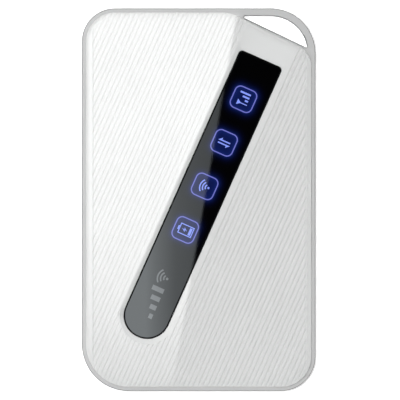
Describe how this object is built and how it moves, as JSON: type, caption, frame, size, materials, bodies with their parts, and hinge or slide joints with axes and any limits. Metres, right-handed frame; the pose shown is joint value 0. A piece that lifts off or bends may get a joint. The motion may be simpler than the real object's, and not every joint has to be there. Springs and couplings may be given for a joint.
{
  "type": "mobile hotspot",
  "caption": "Pocket mobile hotspot with a ribbed white front, a slanted black window with lit status icons, a grey middle frame with a lanyard loop and a lift-off back.",
  "frame": {"origin": "middle of the bounding box's bottom, on the surface the device lies on, under the back cover", "axes": "+Z is the front's outward normal, +Y runs along the device towards the lanyard loop's end, +X to the right of someone who looks at the front"},
  "size_m": [0.0624, 0.102, 0.014],
  "materials": {
    "cover_white": "satin",
    "frame_grey": "satin",
    "window_black": "gloss",
    "icon_light": "lit from behind",
    "adhesive_black": "matte",
    "light_block": "matte",
    "lamp": "gloss",
    "button_grey": "satin",
    "board_green": "satin",
    "shield_steel": "brushed",
    "chip_black": "matte",
    "ceramic_tan": "matte",
    "contact_gold": "gloss",
    "thermal_grey": "matte",
    "socket_black": "matte",
    "card_white": "satin",
    "cell_grey": "satin",
    "wrap_dark": "satin",
    "antenna_copper": "satin",
    "screw_steel": "satin"
  },
  "bodies": {
    "housing": {"front_cover": "cover_white", "middle_frame": "frame_grey", "display_window": "window_black", "window_adhesive": "adhesive_black", "icon_film": "light_block", "light_guide": "light_block", "status_leds": "lamp", "main_board": "board_green", "modem_shield": "shield_steel", "rf_shield": "shield_steel", "wifi_shield": "shield_steel", "modem_chip": "chip_black", "memory_chip": "chip_black", "rf_chip": "chip_black", "wifi_chip": "chip_black", "power_manager": "chip_black", "power_amplifiers": "chip_black", "power_inductors": "chip_black", "board_capacitors": "ceramic_tan", "thermal_pad": "thermal_grey", "usb_shell": "shield_steel", "usb_tongue": "socket_black", "usb_contacts": "contact_gold", "sim_socket": "shield_steel", "sim_contacts": "contact_gold", "power_switch": "socket_black", "wps_switch": "socket_black", "reset_switch": "socket_black", "battery_connector": "socket_black", "battery_springs": "contact_gold", "main_antenna": "antenna_copper", "diversity_antenna": "antenna_copper", "wifi_antenna": "antenna_copper", "antenna_springs": "contact_gold", "housing_screws": "screw_steel", "board_screws": "screw_steel"},
    "power_key": {"power_button": "button_grey", "power_stem": "button_grey"},
    "wps_key": {"wps_button": "button_grey", "wps_stem": "button_grey"},
    "reset_plunger": {"reset_stem": "button_grey"},
    "battery": {"battery_pack": "cell_grey", "battery_wrap": "wrap_dark", "battery_contacts": "contact_gold"},
    "rear_lid": {"back_cover": "cover_white"},
    "sim": {"sim_card": "card_white"}
  },
  "joints": [
    {"name": "power_press", "type": "slide", "parent": "housing", "child": "power_key", "axis": [0, -1, 0], "range_m": [0, 0.0004], "stiffness_N_per_m": 1800, "springref_m": -0.0003},
    {"name": "wps_press", "type": "slide", "parent": "housing", "child": "wps_key", "axis": [0, -1, 0], "range_m": [0, 0.0004], "stiffness_N_per_m": 1800, "springref_m": -0.0003},
    {"name": "reset_press", "type": "slide", "parent": "housing", "child": "reset_plunger", "axis": [0, 1, 0], "range_m": [0, 0.00025], "stiffness_N_per_m": 2400, "springref_m": -0.0002},
    {"name": "battery_lift", "type": "slide", "parent": "housing", "child": "battery", "axis": [0, 0, -1], "range_m": [0, 0.014]},
    {"name": "lid_lift", "type": "slide", "parent": "housing", "child": "rear_lid", "axis": [0, 0, -1], "range_m": [0, 0.028]},
    {"name": "sim_slide", "type": "slide", "parent": "housing", "child": "sim", "axis": [1, 0, 0], "range_m": [0, 0.018]}
  ],
  "couplings": [
    {"joint": "lid_lift", "follows": "battery_lift", "ratio": 2}
  ]
}
